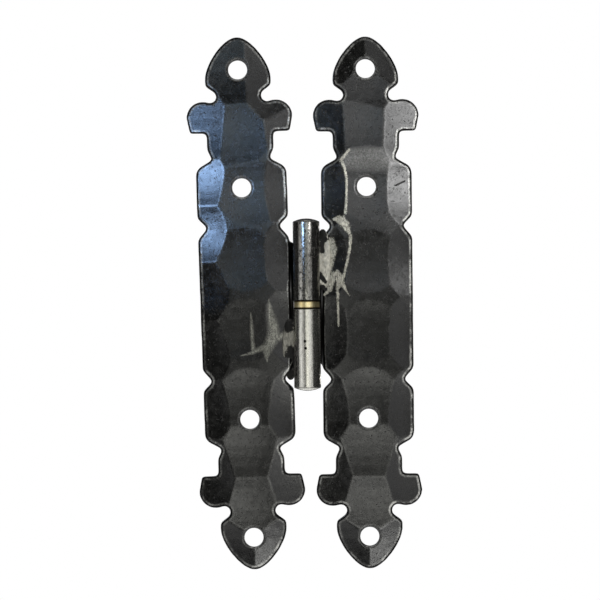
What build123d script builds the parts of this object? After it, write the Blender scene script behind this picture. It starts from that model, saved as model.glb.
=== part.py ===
from build123d import *
import os
from math import atan2, cos, degrees, hypot, radians, sin, sqrt, tan

# A forged H hinge that lifts apart: two hammered leaves welded to a two-part barrel on a pin.
# Millimetres. X runs across the leaves, Z up along the pin, and both backs lie on Y = 0.
# The origin is the middle of the frame leaf's back face.

# Leaf bar and outline widths
leaf_length = 200.0
leaf_thickness = 4.0
block_width = 34.2
lobe_overhang = 2.9
notch_width = 26.8
waist_width = 21.4
shank_width = 25.0
neck_width = 16.8
tip_width = 24.8

# Leaf outline lengths, listed from the tip towards the middle: the main block takes what is left
tip_length = 15.7
tip_flank = 6.0
tip_bluntness = 5.0
tip_to_lobe_middle = 29.9
lobe_height = 5.8
shank_length = 6.3
waist_rise = 3.7
waist_drop = 3.5
end_block_length = 18.4
notch_rise = 3.6
notch_drop = 4.2

# Leaf corner radii
block_corner = 2.5
shoulder_corner = 4.0
notch_corner = 1.2
waist_corner = 1.0
shank_corner = 2.0
lobe_root_corner = 1.2
lobe_tail_corner = 0.9
lobe_tail_inset = 1.2
lobe_radius = 6.2
neck_radius = 2.25
tip_corner = 1.8
tip_shoulder_slope = 35.0

# Screw holes
screw_hole_diameter = 7.2
outer_hole_inset = 12.25
inner_hole_inset = 7.3

# Hammer blows: radius of the dish that each leaves, its depth below the bar's face, and its lean
broad_blow_radius = 110.0
side_blow_radius = 70.0
centre_blow_depth = 0.65
side_blow_depth = 1.3
lobe_blow_depth = 1.5
tip_blow_depth = 1.5
side_blow_lean = 9.0
lobe_blow_lean = 10.0
tip_blow_lean = 9.0

# Barrel, pin and washer
barrel_diameter = 10.0
barrel_length = 31.0
barrel_dome = 1.2
barrel_edge = 0.4
barrel_drop = 0.6
washer_thickness = 2.5
washer_inset = 0.2
pin_diameter = 6.0
pin_seat_depth = 16.0
pin_chamfer = 0.8
pin_end_room = 2.0
upper_bore_end_wall = 7.0
drill_point_angle = 118.0
running_clearance = 0.05
washer_clearance = 0.1

# Setting of the leaves at the barrel
frame_leaf_gap = 0.8
door_leaf_gap = 0.7
frame_leaf_lean = 1.45

# Lip at the back of each leaf, tucked under the round of the barrel
lip_thickness = 1.2
lip_tuck = 0.4
lip_root = 1.5
lip_end_room = 1.5

# Weld beads
weld_radius = 3.0
weld_end = 2.0
weld_stand_off = 0.5
weld_back_room = 0.1
weld_share_of_barrel = 0.74

# Worked-out sizes
leaf_half = leaf_length / 2
barrel_radius = barrel_diameter / 2
pin_radius = pin_diameter / 2
washer_radius = barrel_radius - washer_inset
block_half = block_width / 2
lobe_half = block_half + lobe_overhang
neck_half = neck_width / 2
tip_half = tip_width / 2

tip_shoulder_z = leaf_half - tip_length
lobe_middle_z = leaf_half - tip_to_lobe_middle
lobe_under_z = lobe_middle_z - lobe_height
shank_z = lobe_under_z - shank_length
waist_z = shank_z - waist_rise
end_block_top_z = waist_z - waist_drop
end_block_base_z = end_block_top_z - end_block_length
notch_z = end_block_base_z - notch_rise
main_block_z = notch_z - notch_drop
outer_hole_z = leaf_half - outer_hole_inset
inner_hole_z = end_block_top_z - inner_hole_inset

axis_x = block_half + frame_leaf_gap + barrel_radius
axis_y = -barrel_radius
door_leaf_x = axis_x + barrel_radius + door_leaf_gap + block_half
washer_top_z = washer_thickness / 2 - barrel_drop
washer_base_z = washer_top_z - washer_thickness
upper_bore_depth = barrel_length - upper_bore_end_wall
pin_reach = upper_bore_depth - pin_end_room

lip_half = main_block_z - lip_end_room
lip_reach = barrel_radius - lip_tuck

lean = radians(frame_leaf_lean)
frame_leaf_plane = Plane(origin=(0, 0, 0), x_dir=(cos(lean), 0, sin(lean)), z_dir=(0, -1, 0))
door_leaf_plane = Plane(origin=(door_leaf_x, 0, 0), x_dir=(1, 0, 0), z_dir=(0, -1, 0))

# Rows and columns of the hammer blows on a leaf
tip_row = leaf_half - 9.0
neck_row = lobe_middle_z + 5.0
lobe_row = lobe_middle_z - 5.0
shank_row = waist_z + 1.0
end_row = inner_hole_z - 7.5
main_row = main_block_z / 2
side_column = 0.73 * block_half
lobe_column = 0.65 * lobe_half
tip_column = 0.4 * tip_half

# Each blow: offset across, height, depth, lean to the right and lean upwards in degrees
lower_broad_blows = [
    (-tip_column, -tip_row, tip_blow_depth, -tip_blow_lean, -tip_blow_lean),
    (tip_column, -tip_row, tip_blow_depth, tip_blow_lean, -tip_blow_lean),
    (0, -neck_row, centre_blow_depth, 0, 0),
    (-lobe_column, -lobe_row, lobe_blow_depth, -lobe_blow_lean, 0),
    (lobe_column, -lobe_row, lobe_blow_depth, lobe_blow_lean, 0),
    (0, -shank_row, centre_blow_depth, 0, 0),
    (0, -end_row, centre_blow_depth, 0, 0),
]
lower_side_blows = [
    (-side_column, -inner_hole_z + 4, side_blow_depth, -side_blow_lean, 0),
    (side_column, -inner_hole_z + 4, side_blow_depth, side_blow_lean, 0),
]
door_broad_blows = lower_broad_blows + [
    (0.5, -0.85 * main_row, centre_blow_depth, 0, 0),
    (0.5, 1.25 * main_row, centre_blow_depth, 0, 0),
    (0, inner_hole_z - 0.5, centre_blow_depth, 0, 0),
    (-1, lobe_row + 1.5, centre_blow_depth, -1, 0),
    (0.5, neck_row + 5, centre_blow_depth, 0, 1),
    (-lobe_column, lobe_row, lobe_blow_depth, -lobe_blow_lean, 0),
    (lobe_column, lobe_row, lobe_blow_depth, lobe_blow_lean, 0),
    (-tip_column, tip_row, tip_blow_depth, -tip_blow_lean, tip_blow_lean),
    (tip_column, tip_row, tip_blow_depth, tip_blow_lean, tip_blow_lean),
]
door_side_blows = lower_side_blows + [
    (-side_column, -0.9 * main_row, side_blow_depth, -side_blow_lean, 0),
    (side_column, -0.9 * main_row, side_blow_depth, side_blow_lean, 0),
    (-side_column, 1.25 * main_row, side_blow_depth, -side_blow_lean, 0),
    (side_column, 1.25 * main_row, side_blow_depth, side_blow_lean, 0),
    (-side_column, inner_hole_z - 2, side_blow_depth, -side_blow_lean, 0),
    (side_column, inner_hole_z - 1, side_blow_depth, side_blow_lean, 0),
]
frame_broad_blows = lower_broad_blows + [
    (0, -0.8 * main_row, centre_blow_depth, 0, 0),
    (0, 1.35 * main_row, centre_blow_depth, 0, 0),
    (-0.5, inner_hole_z - 2, centre_blow_depth, 2, 0),
    (1, shank_row + 6, centre_blow_depth, -1, 1),
    (-1, neck_row + 8, centre_blow_depth, -1, 2),
    (-lobe_column, lobe_row + 2, lobe_blow_depth + 0.4, -lobe_blow_lean, 0),
    (lobe_column + 3, lobe_row + 2, lobe_blow_depth, lobe_blow_lean, 0),
    (tip_column + 3, tip_row - 4, tip_blow_depth, tip_blow_lean, 0),
]
frame_side_blows = lower_side_blows + [
    (-side_column, -1.4 * main_row, side_blow_depth, -side_blow_lean, 0),
    (-side_column, 0.4 * main_row, side_blow_depth, -side_blow_lean, 0),
    (-side_column, notch_z - 2, side_blow_depth, -side_blow_lean, 0),
    (-side_column, inner_hole_z + 4, side_blow_depth, -side_blow_lean, 0),
    (side_column, -0.65 * main_row, side_blow_depth, side_blow_lean, 0),
    (side_column, 1.4 * main_row, side_blow_depth, side_blow_lean, 0),
    (side_column, inner_hole_z - 1, side_blow_depth, side_blow_lean, 0),
]


def draw_leaf_quarter():
    """Draws one quarter of the leaf's outline, from the middle of its side to the tip."""
    FilletPolyline(
        (block_half, 0),
        (block_half, main_block_z),
        (notch_width / 2, notch_z),
        (block_half, end_block_base_z),
        (block_half, end_block_top_z),
        (waist_width / 2, waist_z),
        (shank_width / 2, shank_z),
        (shank_width / 2, lobe_under_z),
        (lobe_half - lobe_tail_inset, lobe_under_z),
        (lobe_half, lobe_middle_z),
        radius=[
            block_corner,
            notch_corner,
            block_corner,
            shoulder_corner,
            waist_corner,
            shank_corner,
            lobe_root_corner,
            lobe_tail_corner,
        ],
    )
    lobe_x = lobe_half - lobe_radius
    neck_x = neck_half + neck_radius
    neck_rise = sqrt((lobe_radius + neck_radius) ** 2 - (lobe_x - neck_x) ** 2)
    turn = degrees(atan2(neck_rise, neck_x - lobe_x))
    CenterArc((lobe_x, lobe_middle_z), lobe_radius, 0, turn)
    neck_end = 90 + tip_shoulder_slope
    neck = CenterArc((neck_x, lobe_middle_z + neck_rise), neck_radius, turn + 180, neck_end - turn - 180)
    shoulder_run = tip_half - (neck @ 1).X
    shoulder_z = (neck @ 1).Y + shoulder_run * tan(radians(tip_shoulder_slope))
    FilletPolyline(neck @ 1, (tip_half, shoulder_z), (tip_half, tip_shoulder_z), radius=[tip_corner])
    Bezier(
        (tip_half, tip_shoulder_z),
        (tip_half, tip_shoulder_z + tip_flank),
        (tip_bluntness, leaf_half),
        (0, leaf_half),
    )


def blow_centres(plane, blows, radius):
    """Gives the centre of each hammer ball, from where its blow meets the bar and how it leans."""
    centres = []
    for across, height, depth, lean_right, lean_up in blows:
        right = tan(radians(lean_right))
        up = tan(radians(lean_up))
        reach = radius / hypot(right, up, 1)
        meeting = (across + right * reach, height + up * reach, leaf_thickness - depth + reach)
        centres.append(plane.from_local_coords(meeting))
    return centres


def forge_leaf(plane, side, broad_blows, side_blows):
    """Makes a leaf on its back plane: the cut bar, its hammered front, its lip and four screw holes."""
    lip_start = plane.origin.X + side * (block_half - lip_root)
    lip_end = axis_x - side * lip_reach
    lip_width = abs(lip_end - lip_start)
    with BuildPart() as leaf:
        with BuildSketch(plane):
            with BuildLine():
                draw_leaf_quarter()
                mirror(about=Plane.XZ)
                mirror(about=Plane.YZ)
            make_face()
        extrude(amount=leaf_thickness)
        with Locations(*blow_centres(plane, broad_blows, broad_blow_radius)):
            Sphere(broad_blow_radius, mode=Mode.SUBTRACT)
        with Locations(*blow_centres(plane, side_blows, side_blow_radius)):
            Sphere(side_blow_radius, mode=Mode.SUBTRACT)
        with Locations(((lip_start + lip_end) / 2, -lip_thickness / 2, 0)):
            Box(lip_width, lip_thickness, 2 * lip_half)
        with BuildSketch(plane):
            with Locations(*[(0, z) for z in (-outer_hole_z, -inner_hole_z, inner_hole_z, outer_hole_z)]):
                Circle(screw_hole_diameter / 2)
        extrude(amount=leaf_thickness, mode=Mode.SUBTRACT)
    return leaf


def turn_barrel(height, bore_radius, bore_depth, end):
    """Turns one barrel half: a domed closed end, and a drilled bore in the flat end at the washer."""
    point = bore_radius / tan(radians(drill_point_angle / 2))
    rim = (barrel_radius, end * (barrel_length - barrel_dome))
    crown = (0, end * barrel_length)
    with BuildPart() as barrel:
        with BuildSketch(Plane(origin=(axis_x, axis_y, height), x_dir=(1, 0, 0), z_dir=(0, -1, 0))):
            with BuildLine():
                Polyline(
                    crown,
                    (0, end * (bore_depth + point)),
                    (bore_radius, end * bore_depth),
                    (bore_radius, 0),
                    (barrel_radius, 0),
                    rim,
                )
                TangentArc(crown, rim, tangent=(1, 0))
            make_face()
        revolve(axis=Axis((axis_x, axis_y, 0), (0, 0, 1)))
        rings = barrel.edges().filter_by(lambda edge: edge.is_closed)
        fillet(rings.sort_by(Axis((axis_x, axis_y, height), (0, 0, end)))[-1], barrel_edge)
    return barrel


def lay_weld(side, gap, height, length, leaf):
    """Lays a spindle-shaped bead in the groove between a barrel half and its leaf."""
    bead_x = axis_x + side * (barrel_radius + gap + weld_stand_off)
    bead_y = -(weld_radius + weld_back_room)
    with BuildPart() as weld:
        with BuildSketch(Plane(origin=(bead_x, bead_y, height), x_dir=(-side, 0, 0), z_dir=(0, side, 0))):
            with BuildLine():
                Bezier((0, -length / 2), (weld_end, -length / 2), (weld_radius, -length / 4), (weld_radius, 0))
                mirror(about=Plane.XZ)
                Line((0, length / 2), (0, -length / 2))
            make_face()
        revolve(axis=Axis((bead_x, bead_y, 0), (0, 0, 1)))
        add(leaf.part, mode=Mode.SUBTRACT)
        with Locations((axis_x, axis_y, height)):
            Cylinder(barrel_radius, barrel_length, mode=Mode.SUBTRACT)
    return weld


# Leaves
frame_leaf = forge_leaf(frame_leaf_plane, 1, frame_broad_blows, frame_side_blows)
door_leaf = forge_leaf(door_leaf_plane, -1, door_broad_blows, door_side_blows)

# Barrel halves: the pin is pressed in the lower one and turns in the upper one
lower_barrel = turn_barrel(washer_base_z, pin_radius, pin_seat_depth, -1)
upper_barrel = turn_barrel(washer_top_z, pin_radius + running_clearance, upper_bore_depth, 1)

# Pin, from the end of its seat to its free tip
with BuildPart() as hinge_pin:
    with BuildSketch(Plane(origin=(axis_x, axis_y, washer_base_z - pin_seat_depth))):
        Circle(pin_radius)
    extrude(amount=pin_seat_depth + washer_thickness + pin_reach)
    chamfer(hinge_pin.edges().filter_by(GeomType.CIRCLE), pin_chamfer)

# Washer between the barrel halves
with BuildPart() as thrust_washer:
    with BuildSketch(Plane(origin=(axis_x, axis_y, washer_base_z))):
        Circle(washer_radius)
        Circle(pin_radius + washer_clearance, mode=Mode.SUBTRACT)
    extrude(amount=washer_thickness)

# Weld beads
weld_length = weld_share_of_barrel * barrel_length
upper_weld_z = washer_top_z + barrel_length / 2
lower_weld_z = washer_base_z - barrel_length / 2
lower_weld = lay_weld(-1, frame_leaf_gap, lower_weld_z, weld_length, frame_leaf)
upper_weld = lay_weld(1, door_leaf_gap, upper_weld_z, weld_length, door_leaf)

pieces = {
    "frame_leaf": frame_leaf,
    "door_leaf": door_leaf,
    "lower_barrel": lower_barrel,
    "upper_barrel": upper_barrel,
    "hinge_pin": hinge_pin,
    "thrust_washer": thrust_washer,
    "lower_weld": lower_weld,
    "upper_weld": upper_weld,
}
os.makedirs("parts", exist_ok=True)
for name, piece in pieces.items():
    piece.part.label = name
    export_step(piece.part, f"parts/{name}.step")
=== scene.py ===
"""Forged black iron H hinge: the looks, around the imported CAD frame. Metres throughout."""
import math
import bpy
import bmesh
import mathutils
import numpy as np
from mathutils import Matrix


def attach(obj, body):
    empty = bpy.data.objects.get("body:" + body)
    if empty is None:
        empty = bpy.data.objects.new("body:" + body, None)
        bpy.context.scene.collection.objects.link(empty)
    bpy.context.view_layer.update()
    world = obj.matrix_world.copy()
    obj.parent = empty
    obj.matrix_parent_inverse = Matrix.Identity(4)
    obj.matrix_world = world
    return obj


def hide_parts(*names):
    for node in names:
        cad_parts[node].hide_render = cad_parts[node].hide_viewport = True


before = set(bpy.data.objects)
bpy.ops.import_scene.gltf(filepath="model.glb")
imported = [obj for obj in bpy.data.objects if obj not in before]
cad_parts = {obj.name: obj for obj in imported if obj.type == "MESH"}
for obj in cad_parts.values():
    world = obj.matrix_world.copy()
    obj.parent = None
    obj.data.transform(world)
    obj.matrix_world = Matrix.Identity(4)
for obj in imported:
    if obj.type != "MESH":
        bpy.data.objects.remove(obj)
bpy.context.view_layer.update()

MM = 0.001
IMAGE_SIDE = 600
scene = bpy.context.scene
scene.view_settings.view_transform = "Standard"

# Where the hinge stands in its frame
BARREL_X = 22.9 * MM
BARREL_LENGTH = 31.0 * MM
WASHER_Z = -0.6 * MM
WASHER_HALF = 1.25 * MM
SCREW_HOLES = (87.75 * MM, 43.5 * MM, -43.5 * MM, -87.75 * MM)
DOOR_LEAF_X = 45.7 * MM
FRAME_LEAF_LEAN = math.radians(1.45)
FLOOR_Z = -800 * MM
FRONT, BACK = (0, -1, 0), (0, 1, 0)

# How fine the visual meshes are
LEAF_VOXEL = 0.4 * MM
WELD_VOXEL = 0.22 * MM
MERGE_DISTANCE = 1e-7

# The rim of a leaf, with painted shade in its black outer band and a painted highlight of rubbed steel inside that,
# strongest on edges facing right and down; beside the barrel the leaf is painted black as shade. A point that
# faces front less than WALL_FACING is on a wall, RIM_REACH is in millimetres, and marks lie only on what
# stands in front of FRONT_DEPTH
WALL_FACING = 0.45
RIM_REACH = 4.0
# The next two lines set the rim's painted highlight: weakest on edges facing up or left, strongest on edges facing
# right and down, as where light falls.
LEAST_RIM_HIGHLIGHT = 0.30
HIGHLIGHT_RIGHT, HIGHLIGHT_DOWN = 0.8, 0.6
HOLE_MARGIN = 5 * MM
BARREL_SHADE_SIDE, BARREL_SHADE_REACH = 6.8 * MM, 32 * MM
FRONT_DEPTH = -0.6 * MM

# Colours of the black iron
FORGE_BLACK = (0.0025, 0.0025, 0.0023, 1)
FORGE_BROAD = (0.0055, 0.0055, 0.0052, 1)
FORGE_MOTTLE = (0.010, 0.010, 0.0092, 1)
FORGE_GRAIN = (0.06, 0.06, 0.058, 1)
RUBBED_IRON_AND_HIGHLIGHT = (0.16, 0.16, 0.155, 1)
RIM_WORN_STEEL_HIGHLIGHT = (0.72, 0.72, 0.69, 1)
RIM_SHADE_BLACK = (0.0015, 0.0015, 0.0014, 1)

# Colours of the marks on the barrel, the welds and the washer, and of the shade painted at the barrel's ends and
# the washer's edges
SCALE_FLECK = (0.020, 0.019, 0.018, 1)
SCORCHED = (0.012, 0.011, 0.010, 1)
PIT_BLACK = (0.004, 0.004, 0.004, 1)
GAP_SHADE_BLACK = (0.006, 0.005, 0.004, 1)
BURNT_WELD = (0.006, 0.006, 0.0055, 1)
BRASS_DEEP, BRASS_PALE = (0.88, 0.69, 0.31, 1), (1.0, 0.90, 0.58, 1)
BRASS_EDGE_SHADE = (0.10, 0.06, 0.02, 1)

# Camera: square on to the fronts of the leaves, a long lens, rolled a little
SENSOR_WIDTH = 36.0
CAMERA_DISTANCE = 1.2
CAMERA_ROLL = math.radians(0.57)
VIEW_CENTRE = (20.36 * MM, -3.0 * MM, 1.15 * MM)
MM_PER_PIXEL = 0.375


def set_camera():
    data = bpy.data.cameras.new("long_lens")
    data.sensor_width = SENSOR_WIDTH
    view_width = IMAGE_SIDE * MM_PER_PIXEL * MM
    data.lens = SENSOR_WIDTH * CAMERA_DISTANCE / view_width
    camera = bpy.data.objects.new("camera", data)
    camera.location = (VIEW_CENTRE[0], VIEW_CENTRE[1] - CAMERA_DISTANCE, VIEW_CENTRE[2])
    camera.rotation_euler = (math.radians(90), CAMERA_ROLL, 0)
    scene.collection.objects.link(camera)
    scene.camera = camera


# Node helpers
def add_node(tree, kind, **settings):
    node = tree.nodes.new(kind)
    for key, value in settings.items():
        setattr(node, key, value)
    return node


def plug(tree, socket, value):
    """Links a socket to another node's output, or sets it to a plain value."""
    if isinstance(value, bpy.types.NodeSocket):
        tree.links.new(value, socket)
    else:
        socket.default_value = value


def fill(tree, node, **inputs):
    """Sets or links a node's inputs by name, with spaces written as underscores."""
    for key, value in inputs.items():
        plug(tree, node.inputs[key.replace("_", " ")], value)
    return node


def maths(tree, operation, a, b=0.0):
    node = add_node(tree, "ShaderNodeMath", operation=operation)
    plug(tree, node.inputs[0], a)
    plug(tree, node.inputs[1], b)
    return node.outputs[0]


def times(tree, a, b):
    return maths(tree, "MULTIPLY", a, b)


def larger(tree, a, b):
    return maths(tree, "MAXIMUM", a, b)


def apart(tree, a, b):
    return maths(tree, "ABSOLUTE", maths(tree, "SUBTRACT", a, b))


def vector_maths(tree, operation, a, b=None, scale=None):
    node = add_node(tree, "ShaderNodeVectorMath", operation=operation)
    plug(tree, node.inputs[0], a)
    if b is not None:
        plug(tree, node.inputs[1], b)
    if scale is not None:
        plug(tree, node.inputs["Scale"], scale)
    return node.outputs["Value" if operation in ("DOT_PRODUCT", "LENGTH") else "Vector"]


def remap(tree, value, low, high, to_low=0.0, to_high=1.0, smooth=False):
    node = add_node(tree, "ShaderNodeMapRange", clamp=True)
    if smooth:
        node.interpolation_type = "SMOOTHSTEP"
    fill(tree, node, Value=value, From_Min=low, From_Max=high, To_Min=to_low, To_Max=to_high)
    return node.outputs["Result"]


def mix_colour(tree, factor, a, b):
    node = add_node(tree, "ShaderNodeMix", data_type="RGBA")
    for place, value in ((0, factor), (6, a), (7, b)):
        plug(tree, node.inputs[place], value)
    return node.outputs[2]


def noise(tree, vector, scale, detail=3.0, roughness=0.5, distortion=0.0):
    node = add_node(tree, "ShaderNodeTexNoise", noise_dimensions="3D")
    fill(tree, node, Vector=vector, Scale=scale, Detail=detail, Roughness=roughness, Distortion=distortion)
    return node.outputs[0]


def stretched(tree, vector, scale):
    node = add_node(tree, "ShaderNodeMapping")
    fill(tree, node, Vector=vector, Scale=scale)
    return node.outputs[0]


def attribute(tree, name):
    return add_node(tree, "ShaderNodeAttribute", attribute_name=name).outputs["Fac"]


def bump(tree, height, strength, distance, under=None):
    node = add_node(tree, "ShaderNodeBump")
    fill(tree, node, Height=height, Strength=strength, Distance=distance)
    if under is not None:
        tree.links.new(under, node.inputs["Normal"])
    return node.outputs[0]


def new_material(name):
    material = bpy.data.materials.new(name)
    material.use_nodes = True
    tree = material.node_tree
    surface = next(n for n in tree.nodes if n.type == "BSDF_PRINCIPLED")
    place = add_node(tree, "ShaderNodeTexCoord").outputs["Object"]
    return material, tree, surface, place


def rim_painted_shade_and_highlight(tree, place, ragged):
    """A leaf's rim: how black its outer band is, as painted shade, and the broken line of rubbed steel inside that,
    which is also a painted highlight.
    """
    inset = attribute(tree, "inset")
    # Painted shade: the rim's outer band is black.
    rim_shade = remap(tree, inset, 0.40, 0.85, 1, 0, True)
    waver = remap(tree, noise(tree, place, 260, 3, 0.6), 0.3, 0.7, -0.20, 0.20)
    strip = maths(tree, "ADD", inset, waver)
    # Painted highlight, also rubbed steel: a broken light line inside the black band.
    line = times(tree, remap(tree, strip, 0.45, 0.75, 0, 1, True), remap(tree, strip, 1.05, 1.55, 1, 0, True))
    broken_highlight = remap(tree, noise(tree, place, 130, 4, 0.7), 0.44, 0.56, 0.10, 1.0)
    line = times(tree, line, times(tree, broken_highlight, attribute(tree, "rim_wear_and_highlight")))
    return rim_shade, times(tree, line, remap(tree, ragged, 0.36, 0.56, 0.20, 1.0))


def ground_bare_and_highlight(tree, place, ragged, raggedness):
    """How far the grinder left each place down to steel, which also paints highlights along ridges, with thin dark
    veins through it.
    """
    bare_and_highlight = remap(tree, ragged, 0.30, 0.70, -raggedness, raggedness)
    bare_and_highlight = remap(tree, maths(tree, "ADD", attribute(tree, "bare_and_highlight"), bare_and_highlight), 0.44, 0.86, 0, 1, True)
    vein = apart(tree, noise(tree, place, 520, 3, 0.6, 1.2), 0.5)
    return times(tree, bare_and_highlight, remap(tree, vein, 0.008, 0.035, 0.25, 1.0))


def black_iron(name, ground_and_highlight_dull, ground_and_highlight_bright, raggedness):
    """Waxed black forge finish, rubbed at its ridges and in patches that also paint a highlight, ground to steel in
    places that also paint highlights along ridges, with painted shade in the rim's black outer band and a painted
    highlight of rubbed steel inside it.
    """
    material, tree, surface, place = new_material(name)
    broad = noise(tree, place, 55, 3)
    mottle = noise(tree, place, 420, 5, 0.62)
    grain = noise(tree, place, 2000, 3, 0.65)
    pores = remap(tree, noise(tree, place, 1150, 2, 0.6), 0.60, 0.67, 0, 1, True)
    ragged = noise(tree, place, 1900, 4, 0.7)
    colour = mix_colour(tree, remap(tree, broad, 0.35, 0.65), FORGE_BLACK, FORGE_BROAD)
    colour = mix_colour(tree, remap(tree, mottle, 0.45, 0.75), colour, FORGE_MOTTLE)
    colour = mix_colour(tree, remap(tree, grain, 0.62, 0.80, 0, 0.6), colour, FORGE_GRAIN)
    rubbed = times(tree, remap(tree, attribute(tree, "ridge"), 0.01 * MM, 0.05 * MM, 0, 1, True),
                   remap(tree, ragged, 0.42, 0.62))
    # Rubbed patches that also paint a highlight on the door leaf's top.
    handled_highlight = times(tree, attribute(tree, "handled_highlight"), remap(tree, ragged, 0.35, 0.65, 0.20, 1.0))
    colour = mix_colour(tree, larger(tree, times(tree, rubbed, 0.55), handled_highlight), colour, RUBBED_IRON_AND_HIGHLIGHT)

    rim_shade, line = rim_painted_shade_and_highlight(tree, place, ragged)
    bare_and_highlight = ground_bare_and_highlight(tree, place, ragged, raggedness)
    streak = noise(tree, stretched(tree, place, (2400, 2400, 300)), 1.0, 4, 0.65)
    steel = mix_colour(tree, remap(tree, streak, 0.32, 0.68), ground_and_highlight_dull, ground_and_highlight_bright)
    # Ground steel that also stands in for painted highlights along ridges.
    colour = mix_colour(tree, bare_and_highlight, colour, steel)
    # Painted highlight of rubbed steel along the rim.
    colour = mix_colour(tree, line, colour, RIM_WORN_STEEL_HIGHLIGHT)
    polished = times(tree, bare_and_highlight, 0.5)
    bare_and_highlight = larger(tree, bare_and_highlight, line)
    rim_shade = times(tree, rim_shade, maths(tree, "SUBTRACT", 1.0, bare_and_highlight))
    # Painted shade: the rim's outer band turns black, and metallic so it reflects almost nothing.
    colour = mix_colour(tree, rim_shade, colour, RIM_SHADE_BLACK)
    fill(tree, surface, Base_Color=colour, Metallic=larger(tree, polished, times(tree, rim_shade, 0.9)))

    rough = larger(tree, remap(tree, mottle, 0.3, 0.7, 0.15, 0.30), times(tree, pores, 0.58))
    rough = larger(tree, rough, times(tree, larger(tree, bare_and_highlight, rim_shade), 0.42))
    fill(tree, surface, Roughness=larger(tree, rough, attribute(tree, "scar")), Specular_IOR_Level=0.5)
    relief = bump(tree, mottle, 0.12, 0.3 * MM)
    fill(tree, surface, Normal=bump(tree, grain, 0.30, 0.12 * MM, relief))
    return material


def near(tree, place, centre, size, soft):
    """1 close to a point given in millimetres, falling to 0 over a soft edge."""
    shift = vector_maths(tree, "SUBTRACT", place, [c * MM for c in centre])
    squeeze = vector_maths(tree, "DIVIDE", shift, [s * MM for s in size])
    return remap(tree, vector_maths(tree, "LENGTH", squeeze), 1.0, 1.0 + soft, 1, 0, True)


def from_washer(tree, place):
    """How far up or down from the middle of the washer."""
    split = fill(tree, add_node(tree, "ShaderNodeSeparateXYZ"), Vector=place)
    return apart(tree, split.outputs["Z"], WASHER_Z)


def barrel_steel(name, light, dark, smoothest, roughest, scale_cover, scorches, pits):
    """Drawn tube: streaks along it, flecks of scale, painted shade at its end by the washer and round the edge of
    its dome, scorched near its weld.
    """
    material, tree, surface, place = new_material(name)
    streak = noise(tree, stretched(tree, place, (1900, 1900, 26)), 1.0, 4, 0.6)
    colour = mix_colour(tree, remap(tree, streak, 0.3, 0.7), dark, light)
    fleck = noise(tree, stretched(tree, place, (1500, 1500, 650)), 1.0, 5, 0.7)
    scale = remap(tree, fleck, 0.49, 0.62, 0, scale_cover)
    colour = mix_colour(tree, scale, colour, SCALE_FLECK)
    burnt = None
    for centre, size in scorches:
        spot = near(tree, place, centre, size, 0.6)
        burnt = spot if burnt is None else larger(tree, burnt, spot)
    burnt = times(tree, burnt, remap(tree, fleck, 0.35, 0.55, 0.55, 1.0))
    colour = mix_colour(tree, burnt, colour, SCORCHED)
    for centre in pits:
        colour = mix_colour(tree, near(tree, place, centre, [0.42] * 3, 0.5), colour, PIT_BLACK)
    along = from_washer(tree, place)
    # Painted shade: dark bands in the gap by the washer and round the edge of the dome.
    end_shade = remap(tree, along, WASHER_HALF + 0.35 * MM, WASHER_HALF + 0.75 * MM, 1, 0, True)
    dome_edge = apart(tree, along, WASHER_HALF + BARREL_LENGTH - 1.2 * MM)
    end_shade = larger(tree, end_shade, remap(tree, dome_edge, 0.10 * MM, 0.30 * MM, 0.7, 0, True))
    colour = mix_colour(tree, end_shade, colour, GAP_SHADE_BLACK)
    rough = remap(tree, streak, 0.3, 0.7, roughest, smoothest)
    rough = maths(tree, "ADD", rough, times(tree, scale, 0.25))
    rough = larger(tree, rough, times(tree, larger(tree, end_shade, burnt), 0.8))
    fill(tree, surface, Base_Color=colour, Roughness=rough, Metallic=1.0)
    fill(tree, surface, Normal=bump(tree, fleck, 0.16, 0.2 * MM, bump(tree, streak, 0.10, 0.1 * MM)))
    return material


def drawn_steel(name, light, dark, low_rough, high_rough):
    """Ground bar: fine streaks along its length."""
    material, tree, surface, place = new_material(name)
    streak = noise(tree, stretched(tree, place, (1500, 1500, 30)), 1.0, 4, 0.6)
    colour = mix_colour(tree, remap(tree, streak, 0.3, 0.7), dark, light)
    rough = remap(tree, streak, 0.3, 0.7, high_rough, low_rough)
    fill(tree, surface, Base_Color=colour, Roughness=rough, Metallic=1.0)
    fill(tree, surface, Normal=bump(tree, streak, 0.08, 0.1 * MM))
    return material


def ground_weld(name, light, dark):
    """Weld metal dressed with a grinder, burnt black in its hollows and at its ends."""
    material, tree, surface, place = new_material(name)
    lumps = noise(tree, place, 420, 4, 0.6)
    marks = noise(tree, stretched(tree, place, (2200, 2200, 700)), 1.0, 4, 0.65)
    colour = mix_colour(tree, remap(tree, marks, 0.3, 0.7), dark, light)
    ragged = noise(tree, place, 900, 5, 0.7)
    burnt = maths(tree, "ADD", attribute(tree, "burnt"), remap(tree, ragged, 0.3, 0.7, -0.40, 0.45))
    burnt = remap(tree, burnt, 0.38, 0.70, 0, 1, True)
    colour = mix_colour(tree, burnt, colour, BURNT_WELD)
    fill(tree, surface, Base_Color=colour, Metallic=remap(tree, burnt, 0, 1, 0.5, 0.0))
    fill(tree, surface, Roughness=remap(tree, lumps, 0.3, 0.7, 0.34, 0.52), Specular_IOR_Level=0.15)
    fill(tree, surface, Normal=bump(tree, marks, 0.2, 0.2 * MM, bump(tree, lumps, 0.15, 0.5 * MM)))
    return material


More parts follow.
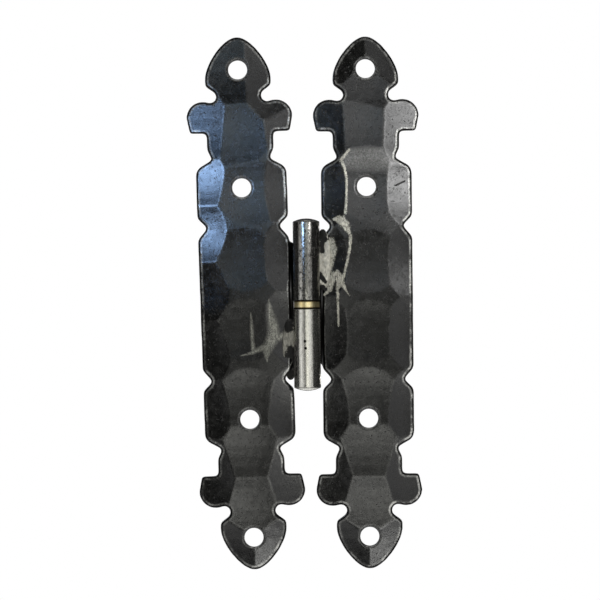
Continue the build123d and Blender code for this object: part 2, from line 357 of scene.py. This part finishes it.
def turned_brass():
    """Brass with fine turning rings, with painted shade at its two edges where it meets the barrels."""
    material, tree, surface, place = new_material("turned_brass")
    patch = noise(tree, place, 500, 4, 0.6)
    colour = mix_colour(tree, remap(tree, patch, 0.3, 0.7), BRASS_DEEP, BRASS_PALE)
    # Painted shade: both edges of the washer darken where they meet the barrels.
    edge = remap(tree, from_washer(tree, place), 0.80 * MM, 1.05 * MM, 0, 0.85, True)
    colour = mix_colour(tree, edge, colour, BRASS_EDGE_SHADE)
    fill(tree, surface, Base_Color=colour, Roughness=remap(tree, patch, 0.3, 0.7, 0.28, 0.42), Metallic=1.0)
    rings = noise(tree, stretched(tree, place, (200, 200, 6000)), 1.0, 2)
    fill(tree, surface, Normal=bump(tree, rings, 0.1, 0.1 * MM))
    return material


# Geometry node helpers
class Tree:
    """A geometry node group with named inputs, whose first input is the mesh."""

    def __init__(self, name, **inputs):
        self.group = bpy.data.node_groups.new(name, "GeometryNodeTree")
        face = self.group.interface
        face.new_socket("Geometry", in_out="INPUT", socket_type="NodeSocketGeometry")
        face.new_socket("Geometry", in_out="OUTPUT", socket_type="NodeSocketGeometry")
        kinds = {float: "NodeSocketFloat", int: "NodeSocketInt"}
        self.names = {}
        for key, value in inputs.items():
            kind = "NodeSocketMaterial" if value is None else kinds[type(value)]
            socket = face.new_socket(key, in_out="INPUT", socket_type=kind)
            self.names[key] = socket.identifier
            if value is not None:
                socket.default_value = value
        self.inside = self.group.nodes.new("NodeGroupInput")
        self.outside = self.group.nodes.new("NodeGroupOutput")

    def value(self, name):
        return self.inside.outputs[name]

    def node(self, kind, settings=None, **inputs):
        return fill(self.group, add_node(self.group, kind, **(settings or {})), **inputs)

    def finish(self, geometry):
        made = self.node("GeometryNodeRealizeInstances", Geometry=geometry).outputs[0]
        made = self.node("GeometryNodeSetMaterial", Geometry=made, Material=self.value("Material")).outputs[0]
        self.group.links.new(made, self.outside.inputs[0])


def blurred(tree, value, rounds, kind="FLOAT_VECTOR", weight=1.0):
    node = tree.node("GeometryNodeBlurAttribute", {"data_type": kind}, Iterations=rounds, Weight=weight)
    socket = next(s for s in node.inputs if s.name == "Value" and s.enabled)
    tree.group.links.new(value, socket)
    return next(s for s in node.outputs if s.enabled)


def stored(tree, geometry, name, value):
    store = tree.node("GeometryNodeStoreNamedAttribute", {"data_type": "FLOAT", "domain": "POINT"},
                      Geometry=geometry, Name=name)
    tree.group.links.new(value, next(s for s in store.inputs if s.name == "Value" and s.enabled))
    return store.outputs[0]


def lumps_of(tree, position, size, detail, middle, depth):
    """Noise of a lump size, about a middle, as a height of that depth."""
    g = tree.group
    lumps = tree.node("ShaderNodeTexNoise", {"noise_dimensions": "4D"}, Vector=position, W=tree.value("Seed"),
                      Scale=maths(g, "DIVIDE", 1.0, tree.value(size)), Detail=detail)
    level = times(g, maths(g, "SUBTRACT", lumps.outputs[0], middle), 2.0)
    return times(g, level, tree.value(depth))


def hammered_plate_tree():
    """Softens the ridges, rounds the rim, then lays shallow dents and forge grain on the front."""
    tree = Tree("hammered_plate", Ridge_softening=1, Rim_rounding=8, Dent_spacing=9.0 * MM, Dent_depth=0.05 * MM,
                Grain_size=1.6 * MM, Grain_depth=0.012 * MM, Seed=3.0, Material=None)
    g = tree.group
    position = tree.node("GeometryNodeInputPosition").outputs[0]
    normal = tree.node("GeometryNodeInputNormal").outputs[0]
    made = tree.node("GeometryNodeSetPosition", Geometry=tree.inside.outputs[0],
                     Position=blurred(tree, position, tree.value("Ridge_softening"))).outputs[0]
    facing = maths(g, "ABSOLUTE", vector_maths(g, "DOT_PRODUCT", normal, BACK))
    wall = blurred(tree, remap(g, facing, 0.35, 0.9, 1, 0, True), 3, "FLOAT")
    made = tree.node("GeometryNodeSetPosition", Geometry=made,
                     Position=blurred(tree, position, tree.value("Rim_rounding"), weight=wall)).outputs[0]
    front = remap(g, vector_maths(g, "DOT_PRODUCT", normal, FRONT), 0.2, 0.8, 0, 1, True)
    dents = lumps_of(tree, position, "Dent_spacing", 1.0, 0.5, "Dent_depth")
    grain = lumps_of(tree, position, "Grain_size", 1.0, 0.5, "Grain_depth")
    height = times(g, maths(g, "ADD", dents, grain), front)
    made = tree.node("GeometryNodeSetPosition", Geometry=made,
                     Offset=vector_maths(g, "SCALE", normal, scale=height)).outputs[0]
    stand = vector_maths(g, "SUBTRACT", position, blurred(tree, position, 4))
    made = stored(tree, made, "ridge", vector_maths(g, "DOT_PRODUCT", stand, normal))
    tree.finish(tree.node("GeometryNodeSetShadeSmooth", Geometry=made).outputs[0])
    return tree


def dressed_weld_tree():
    """Lays a bead down: grinds its crown to a level, then roughens it with lumps."""
    tree = Tree("dressed_weld", Crown_level=3.6 * MM, Crown_softness=1.6 * MM, Lump_size=2.4 * MM,
                Lump_depth=0.5 * MM, Seed=1.0, Material=None)
    g = tree.group
    position = tree.node("GeometryNodeInputPosition").outputs[0]
    normal = tree.node("GeometryNodeInputNormal").outputs[0]
    split = tree.node("ShaderNodeSeparateXYZ", Vector=position)
    level = times(g, tree.value("Crown_level"), -1.0)
    ground = tree.node("ShaderNodeMath", {"operation": "SMOOTH_MAX"})
    for socket, value in zip(ground.inputs, (split.outputs["Y"], level, tree.value("Crown_softness"))):
        plug(g, socket, value)
    low = tree.node("ShaderNodeCombineXYZ", X=split.outputs["X"], Y=ground.outputs[0], Z=split.outputs["Z"])
    made = tree.node("GeometryNodeSetPosition", Geometry=tree.inside.outputs[0], Position=low.outputs[0]).outputs[0]
    front = remap(g, vector_maths(g, "DOT_PRODUCT", normal, FRONT), 0.0, 0.5, 0, 1, True)
    height = times(g, lumps_of(tree, position, "Lump_size", 2.0, 0.55, "Lump_depth"), front)
    made = tree.node("GeometryNodeSetPosition", Geometry=made,
                     Offset=vector_maths(g, "SCALE", normal, scale=height)).outputs[0]
    tree.finish(tree.node("GeometryNodeSetShadeSmooth", Geometry=made).outputs[0])
    return tree


def spatter_tree():
    """Scatters small droplets on the front of a plate, round a weld."""
    tree = Tree("weld_spatter", Weld_X=0.0, Weld_Z=0.0, Reach=30 * MM, Density=7000.0, Smallest=0.1 * MM,
                Largest=0.28 * MM, Seed=1, Material=None)
    g = tree.group
    position = tree.node("GeometryNodeInputPosition").outputs[0]
    normal = tree.node("GeometryNodeInputNormal").outputs[0]
    split = tree.node("ShaderNodeSeparateXYZ", Vector=position)
    aside = maths(g, "SUBTRACT", split.outputs["X"], tree.value("Weld_X"))
    above = maths(g, "SUBTRACT", split.outputs["Z"], tree.value("Weld_Z"))
    far = maths(g, "SQRT", maths(g, "ADD", times(g, aside, aside), times(g, above, above)))
    close = maths(g, "LESS_THAN", far, tree.value("Reach"))
    front = maths(g, "GREATER_THAN", vector_maths(g, "DOT_PRODUCT", normal, FRONT), 0.9)
    points = tree.node("GeometryNodeDistributePointsOnFaces", {"distribute_method": "RANDOM"},
                       Mesh=tree.inside.outputs[0], Selection=times(g, close, front),
                       Density=tree.value("Density"), Seed=tree.value("Seed"))
    drop = tree.node("GeometryNodeMeshIcoSphere", Radius=1.0, Subdivisions=2)
    size = tree.node("FunctionNodeRandomValue", {"data_type": "FLOAT"}, Seed=tree.value("Seed"))
    smallest, largest = [s for s in size.inputs if s.enabled and s.name in ("Min", "Max")]
    plug(g, smallest, tree.value("Smallest"))
    plug(g, largest, tree.value("Largest"))
    radius = next(s for s in size.outputs if s.enabled)
    drops = tree.node("GeometryNodeInstanceOnPoints", Points=points.outputs[0], Instance=drop.outputs[0],
                      Scale=radius)
    tree.finish(drops.outputs[0])
    return tree


def merged_copy(node, name):
    """A CAD node's mesh as a closed mesh of its own, with its place in it."""
    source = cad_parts[node]
    mesh = source.data.copy()
    mesh.transform(source.matrix_world)
    shape = bmesh.new()
    shape.from_mesh(mesh)
    bmesh.ops.remove_doubles(shape, verts=shape.verts, dist=MERGE_DISTANCE)
    shape.to_mesh(mesh)
    shape.free()
    mesh.materials.clear()
    piece = bpy.data.objects.new(name, mesh)
    scene.collection.objects.link(piece)
    return piece


def shaped(piece, tree, material, voxel, **values):
    """Remeshes a piece, runs a node group on it and keeps the result as a plain mesh."""
    if voxel:
        fine = piece.modifiers.new("even_mesh", "REMESH")
        fine.mode = "VOXEL"
        fine.voxel_size = voxel
    work = piece.modifiers.new("shape", "NODES")
    work.node_group = tree.group
    for key, value in dict(values, Material=material).items():
        work[tree.names[key]] = value
    piece.update_tag()
    bpy.context.view_layer.update()
    evaluated = piece.evaluated_get(bpy.context.evaluated_depsgraph_get())
    mesh = bpy.data.meshes.new_from_object(evaluated)
    piece.modifiers.clear()
    piece.data = mesh
    mesh.name = piece.name
    return piece


def vertex_numbers(mesh, name):
    flat = np.empty(len(mesh.vertices) * 3, np.float32)
    mesh.vertices.foreach_get(name, flat)
    return flat.reshape(-1, 3)


def inset_of(mesh, middle, lean):
    """How far each front point lies in from the plate's outline, in millimetres, and how strong the rim's painted
    highlight of rubbed steel is there, strongest on edges facing right and down.
    """
    facing = -vertex_numbers(mesh, "normal")[:, 1]
    flat = vertex_numbers(mesh, "co") * (1, 0, 1)
    outline = np.abs(facing) < WALL_FACING
    for height in SCREW_HOLES:
        hole = (middle - height * math.sin(lean), 0, height * math.cos(lean))
        outline &= np.linalg.norm(flat - hole, axis=1) > HOLE_MARGIN
    walls = np.flatnonzero(outline)
    near_walls = mathutils.kdtree.KDTree(len(walls))
    for k in walls:
        near_walls.insert(flat[k], int(k))
    near_walls.balance()
    inset = np.where(np.abs(facing) >= WALL_FACING, RIM_REACH, 0.0)
    rim_wear_and_highlight = np.zeros(len(flat))
    for k in np.flatnonzero(facing >= WALL_FACING):
        edge, _, away = near_walls.find(flat[k])
        inset[k] = min(RIM_REACH, away / MM)
        outward = np.array(edge) - flat[k]
        # Painted highlight: the rim line is strongest where the edge faces right or down.
        highlight_side = (HIGHLIGHT_RIGHT * outward[0] - HIGHLIGHT_DOWN * outward[2]) / max(away, 1e-6)
        rim_wear_and_highlight[k] = LEAST_RIM_HIGHLIGHT + (1 - LEAST_RIM_HIGHLIGHT) * max(0.0, highlight_side)
    # Painted shade: the leaf beside the barrel gets no inset, so the black rim band covers it and the gap to the
    # barrel looks dark.
    shaded_beside_barrel = np.abs(flat[:, 0] - BARREL_X) < BARREL_SHADE_SIDE
    shaded_beside_barrel &= np.abs(flat[:, 2] - WASHER_Z) < BARREL_SHADE_REACH
    inset[shaded_beside_barrel & (facing > -WALL_FACING)] = 0
    return inset, rim_wear_and_highlight


def keep_number(mesh, name, numbers):
    layer = mesh.attributes.get(name) or mesh.attributes.new(name, "FLOAT", "POINT")
    layer.data.foreach_set("value", np.asarray(numbers, np.float32))


# Ground marks on the leaves, which also paint highlights along ridges: across, up and half width of each point, in
# millimetres
DOOR_GROUND_AND_RIDGE_HIGHLIGHTS = (
    ((39.3, 57.2, 0.41), (36.3, 53.5, 0.56), (37.5, 50.5, 0.45), (38.3, 46.7, 0.41), (38.2, 40.3, 0.41),
     (37.7, 33.6, 0.49)),
    ((33.2, 31.4, 0.38), (35.7, 31.2, 1.69), (37.5, 29.5, 1.69), (39.0, 26.1, 0.6)),
    ((39.6, 25.0, 0.56), (39.3, 20.8, 0.49), (38.3, 16.0, 0.41), (37.0, 10.7, 0.49)),
    ((34.4, 12.1, 0.38), (35.1, 9.6, 1.41), (35.2, 7.8, 1.22), (34.4, 5.1, 0.52)),
    ((37.0, 10.4, 0.47), (35.8, 8.1, 0.94), (37.5, 4.9, 0.34), (38.9, 2.6, 0.15)),
    ((34.4, 5.5, 0.52), (34.6, 1.0, 0.41), (34.7, -8.7, 0.3)),
    ((32.2, 23.2, 1.31), (32.4, 19.8, 2.25), (31.4, 16.0, 2.06), (30.8, 11.5, 1.31)),
    ((33.2, 10.8, 0.94), (32.0, 7.4, 1.12), (31.5, 4.8, 0.75), (29.4, 2.9, 0.38)),
)
FRAME_GROUND_AND_RIDGE_HIGHLIGHTS = (
    ((8.6, 1.6, 0.18), (9.2, -3.6, 0.80), (10.2, -8.0, 1.6), (10.4, -12.4, 2.6), (8.4, -16.0, 1.8),
     (7.6, -19.6, 0.55), (7.9, -22.0, 0.12)),
    ((7.1, -16.3, 0.9), (2.2, -18.5, 0.42), (-2.2, -19.6, 0.12)),
    ((1.9, -3.5, 0.15), (2.1, -8.0, 0.42), (2.3, -12.9, 0.48), (2.7, -17.1, 0.50)),
    ((12.0, -13.0, 0.9), (14.6, -11.9, 0.9), (15.7, -14.6, 0.6), (17.9, -17.2, 0.3)),
    ((18.3, -17.2, 0.2), (17.5, -21.3, 0.15), (15.8, -24.7, 0.12)),
)
# Rubbed patches on the door leaf, which also paint a highlight there.
DOOR_RUBBED_HIGHLIGHTS = (
    ((39.5, 53.2, 2.0), (46.0, 53.8, 3.2), (54.0, 52.6, 2.2)),
    ((36.6, 53.6, 0.4), (40.2, 56.7, 0.5), (46.0, 57.0, 0.6), (51.6, 56.7, 0.5), (56.4, 52.6, 0.4)),
)
DOOR_SCARS = (((56.4, 43.7, 0.3), (60.2, 45.4, 0.3)),)


def stroke_amount(points, strokes, soft):
    """How much each point lies under the strokes: 1 inside, falling to 0 past the edge by soft millimetres."""
    flat = points[:, (0, 2)] / MM
    amount = np.zeros(len(points))
    for stroke in strokes:
        for (x0, z0, w0), (x1, z1, w1) in zip(stroke, stroke[1:]):
            start, run = np.array([x0, z0]), np.array([x1 - x0, z1 - z0])
            along = np.clip(((flat - start) @ run) / (run @ run), 0, 1)
            away = np.linalg.norm(flat - start - along[:, None] * run, axis=1)
            width = w0 + along * (w1 - w0)
            cover = np.clip(1 - (away - 0.5 * width) / (0.5 * width + soft * np.minimum(1, width)), 0, 1)
            amount = np.maximum(amount, cover)
    return amount


def build_leaves():
    """The two hammered plates, each with its fine spatter round the weld."""
    plate = hammered_plate_tree()
    spatter = spatter_tree()
    drops = drawn_steel("spatter_steel", (0.16, 0.155, 0.14, 1), (0.04, 0.04, 0.038, 1), 0.35, 0.55)
    # The door leaf's copy paints its ground marks and ridge highlights brighter than the frame leaf's.
    dull = black_iron("black_iron_dull_ground_and_highlight", (0.10, 0.10, 0.086, 1), (0.44, 0.44, 0.385, 1), 0.06)
    bright = black_iron("black_iron_bright_ground_and_highlight", (0.22, 0.215, 0.18, 1), (0.70, 0.68, 0.59, 1), 0.36)
    for node, body, material, seed, middle, lean, ground, strength, softness, rubbed, scars, weld in (
            ("frame_leaf", "frame_side", dull, 3.0, 0.0, FRAME_LEAF_LEAN, FRAME_GROUND_AND_RIDGE_HIGHLIGHTS, 0.72, 4.0,
             (), (), (11.4 * MM, -12 * MM)),
            ("door_leaf", "door_side", bright, 8.0, DOOR_LEAF_X, 0.0, DOOR_GROUND_AND_RIDGE_HIGHLIGHTS, 1.0, 1.0,
             DOOR_RUBBED_HIGHLIGHTS, DOOR_SCARS, (33.4 * MM, 12 * MM))):
        leaf = shaped(merged_copy(node, "hammered_" + node), plate, material, LEAF_VOXEL, Seed=seed)
        points = vertex_numbers(leaf.data, "co")
        front = points[:, 1] < FRONT_DEPTH
        inset, rim_wear_and_highlight = inset_of(leaf.data, middle, lean)
        keep_number(leaf.data, "inset", inset)
        keep_number(leaf.data, "rim_wear_and_highlight", rim_wear_and_highlight)
        keep_number(leaf.data, "bare_and_highlight", stroke_amount(points, ground, softness) * strength * front)
        # The rubbed patches also paint a highlight.
        keep_number(leaf.data, "handled_highlight", stroke_amount(points, rubbed, 2.5) * front)
        keep_number(leaf.data, "scar", stroke_amount(points, scars, 0.3) * front)
        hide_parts(node)
        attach(leaf, body)
        specks = bpy.data.objects.new("spatter_on_" + node, leaf.data.copy())
        scene.collection.objects.link(specks)
        shaped(specks, spatter, drops, 0, Weld_X=weld[0], Weld_Z=weld[1], Seed=int(seed))
        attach(specks, body)


def build_welds():
    """The two weld beads, ground down and burnt in places."""
    dressed = dressed_weld_tree()
    for node, body, light, dark, seed, burns in (
            ("lower_weld", "frame_side", (0.34, 0.33, 0.29, 1), (0.08, 0.08, 0.07, 1), 2.0,
             (((16.0, -6.5, 2.6), (16.0, -9.5, 1.6)), ((16.9, -18.0, 2.2), (15.4, -28.0, 2.8)))),
            ("upper_weld", "door_side", (0.68, 0.66, 0.58, 1), (0.26, 0.25, 0.215, 1), 6.0,
             (((28.4, 27.6, 2.6), (29.4, 24.0, 1.8)), ((28.7, 22.5, 0.8), (28.9, 19.2, 0.8)),
              ((27.9, 10.5, 1.0), (29.9, 8.0, 0.7)), ((28.4, 5.5, 1.6), (30.9, 3.5, 1.6))))):
        bead = shaped(merged_copy(node, "dressed_" + node), dressed, ground_weld(node + "_metal", light, dark),
                      WELD_VOXEL, Seed=seed)
        keep_number(bead.data, "burnt", stroke_amount(vertex_numbers(bead.data, "co"), burns, 0.8))
        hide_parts(node)
        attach(bead, body)


def finish_turned_parts():
    """Metals for the pieces that keep their CAD shape."""
    upper = barrel_steel("upper_barrel_steel", (0.56, 0.55, 0.515, 1), (0.17, 0.166, 0.153, 1), 0.10, 0.18, 0.95,
                         (((25.85, -9.0, 18.9), (1.1, 2.5, 1.5)), ((24.9, -9.4, 18.2), (0.7, 2.0, 0.6)),
                          ((27.2, -7.0, 23.0), (0.8, 3.0, 4.0))), ())
    lower = barrel_steel("lower_barrel_steel", (0.80, 0.79, 0.73, 1), (0.58, 0.57, 0.52, 1), 0.18, 0.27, 0.25,
                         (((18.6, -6.5, -22.0), (0.7, 3.0, 6.0)),),
                         ((22.08, -9.9, -14.24), (22.28, -9.9, -16.87)))
    pin = drawn_steel("ground_pin_steel", (0.55, 0.55, 0.55, 1), (0.30, 0.30, 0.30, 1), 0.12, 0.2)
    finishes = {"lower_barrel": lower, "upper_barrel": upper, "hinge_pin": pin, "thrust_washer": turned_brass()}
    for node, material in finishes.items():
        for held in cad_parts[node].material_slots:
            held.material = material


# Soft boxes of the studio: place, aim, width, height, brightness, colour and spread in degrees
SKY_BLUE, WHITE, WARM = (0.38, 0.60, 1.0), (1, 1, 1), (1, 1, 0.94)
ALL_ROUND = 180
SOFT_BOXES = {
    "blue_box": ((-0.049, -0.11, 0.043), (-0.012, 0, 0.045), 0.045, 0.040, 41, SKY_BLUE, 31),
    "blue_top": ((-0.049, -0.11, 0.077), (-0.012, 0, 0.070), 0.045, 0.034, 3.0, SKY_BLUE, 31),
    "white_box": ((0.094, -0.11, 0.046), (0.058, 0, 0.050), 0.045, 0.028, 17, WHITE, 50),
    "white_top": ((0.094, -0.11, 0.074), (0.058, 0, 0.072), 0.045, 0.028, 8, WHITE, 50),
    "upper_left_fill": ((0.0, -0.24, 0.066), (0.0, 0, 0.056), 0.06, 0.06, 2.7, (0.60, 0.82, 1.0), 36),
    "upper_right_fill": ((0.05, -0.24, 0.074), (0.046, 0, 0.06), 0.06, 0.07, 2.0, WHITE, 100),
    "barrel_fill": ((0.023, -0.065, -0.019), (0.023, 0, -0.017), 0.034, 0.046, 1.1, WARM, 36),
    "front_fill": ((0.03, -0.60, 0.0), (0.03, 0, 0.0), 0.25, 0.10, 0.50, (1, 1, 0.92), ALL_ROUND),
    "lower_fill": ((0.04, -0.30, -0.10), (0.03, 0, -0.085), 0.14, 0.05, 3.6, WARM, ALL_ROUND),
    "lower_right": ((0.11, -0.25, -0.172), (0.03, 0, -0.09), 0.12, 0.05, 6.0, (1, 1, 0.97), ALL_ROUND),
    "back_left": ((-0.16, 0.30, 0.14), (0.02, 0, 0.03), 0.16, 0.12, 4.0, (0.80, 0.90, 1.0), ALL_ROUND),
    "back_right": ((0.24, 0.34, -0.06), (0.03, 0, -0.04), 0.10, 0.20, 4.0, (1, 0.97, 0.92), ALL_ROUND),
    "overhead": ((0.02, -0.35, 0.90), (0.02, 0, 0.0), 0.80, 0.50, 5.0, (1, 0.99, 0.94), ALL_ROUND),
}
AMBIENT = 0.32


def soft_box(name, place, aim, width, height, brightness, colour, spread):
    """An area lamp whose face has the same brightness whatever its size and spread."""
    data = bpy.data.lights.new(name, "AREA")
    data.shape = "RECTANGLE"
    data.size, data.size_y = width, height
    half = math.radians(spread) / 2
    share = math.sin(half) ** 2 - (half - math.sin(half) * math.cos(half)) / math.tan(half)
    data.energy = brightness * share * math.pi * width * height
    data.spread = math.radians(spread)
    data.color = colour
    lamp = bpy.data.objects.new(name, data)
    lamp.location = place
    from_aim = np.array(place) - np.array(aim)
    lamp.rotation_euler = mathutils.Vector(from_aim).to_track_quat("Z", "Y").to_euler()
    lamp.visible_camera = False
    scene.collection.objects.link(lamp)


def seen_rays(tree, *kinds):
    """1 for light that comes from these kinds of ray, else 0."""
    path = add_node(tree, "ShaderNodeLightPath")
    seen = path.outputs[kinds[0]]
    for kind in kinds[1:]:
        seen = larger(tree, seen, path.outputs[kind])
    return seen


def white_world():
    """White where it is seen or reflected, and a weaker light all round."""
    world = bpy.data.worlds.new("white_studio")
    world.use_nodes = True
    scene.world = world
    tree = world.node_tree
    shade = next(n for n in tree.nodes if n.type == "BACKGROUND")
    seen = seen_rays(tree, "Is Camera Ray", "Is Glossy Ray", "Is Transmission Ray")
    fill(tree, shade, Color=(1, 1, 1, 1), Strength=remap(tree, seen, 0, 1, AMBIENT, 1.0))


def flat_sheet(name, corners, material):
    mesh = bpy.data.meshes.new(name)
    mesh.from_pydata(corners, [], [(0, 1, 2, 3)])
    mesh.materials.append(material)
    sheet = bpy.data.objects.new(name, mesh)
    scene.collection.objects.link(sheet)
    return sheet


def lay_floor():
    """A white floor far below, which keeps its shadows."""
    material, tree, surface, _ = new_material("white_floor")
    seen = seen_rays(tree, "Is Camera Ray", "Is Glossy Ray")
    fill(tree, surface, Base_Color=(0.8, 0.8, 0.8, 1), Roughness=0.9, Emission_Color=(1, 1, 1, 1),
         Emission_Strength=times(tree, seen, 0.75))
    side = 2.0
    floor = flat_sheet("floor", [(-side, -side, FLOOR_Z), (side, -side, FLOOR_Z), (side, side, FLOOR_Z),
                                 (-side, side, FLOOR_Z)], material)


def stand_flags():
    """Dark cloths round the hinge, which its black faces reflect, with white gaps that streak the barrel."""
    material, tree, surface, place = new_material("dark_cloth")
    weave = mix_colour(tree, noise(tree, place, 6, 3), (0.03, 0.03, 0.03, 1), (0.06, 0.06, 0.06, 1))
    fill(tree, surface, Base_Color=weave, Roughness=0.95)
    top, middle, bottom = 1.5, 0.0, FLOOR_Z
    for name, (x0, y0), (x1, y1), low, high in (
            ("front_flag_upper", (-1.5, -1.5), (0.42, -1.5), middle, top),
            ("front_flag_lower", (-0.78, -1.5), (0.42, -1.5), bottom, middle),
            ("left_flag_upper", (-1.9, -1.0), (-1.9, 1.2), middle, top),
            ("left_flag_lower", (-1.9, -0.55), (-1.9, 1.2), bottom, middle),
            ("right_flag_upper", (1.2, -2.0), (1.2, 0.7), middle, top),
            ("right_flag_lower", (1.2, -1.15), (1.2, 0.7), bottom, middle),
            ("back_flag", (-0.9, 1.5), (0.9, 1.5), bottom, top)):
        flag = flat_sheet(name, [(x0, y0, low), (x0, y0, high), (x1, y1, high), (x1, y1, low)], material)
        flag.visible_camera = flag.visible_shadow = flag.visible_diffuse = False


set_camera()
build_leaves()
build_welds()
finish_turned_parts()
for box, settings in SOFT_BOXES.items():
    soft_box(box, *settings)
white_world()
lay_floor()
stand_flags()
